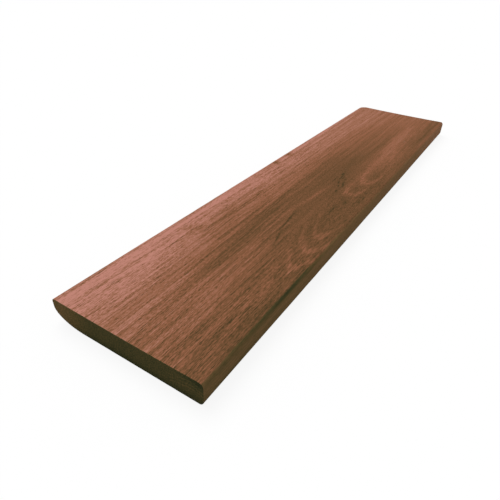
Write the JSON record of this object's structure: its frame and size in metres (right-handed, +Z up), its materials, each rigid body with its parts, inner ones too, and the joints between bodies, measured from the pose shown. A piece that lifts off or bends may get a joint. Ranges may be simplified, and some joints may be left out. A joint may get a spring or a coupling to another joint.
{
  "type": "decking board",
  "caption": "Short length of smooth reddish-brown hardwood decking board: a flat plank with one eased square edge and one nosed edge, laid over joists.",
  "frame": {"origin": "middle of the underside, half way along the length and the width", "axes": "+X along the length from the near end to the far end, +Y across the width towards the nosed edge, +Z up through the walking face"},
  "size_m": [0.66, 0.145, 0.021],
  "materials": {
    "board_wood": "planed, satin"
  },
  "bodies": {
    "root": {"decking_board": "board_wood"}
  },
  "joints": []
}
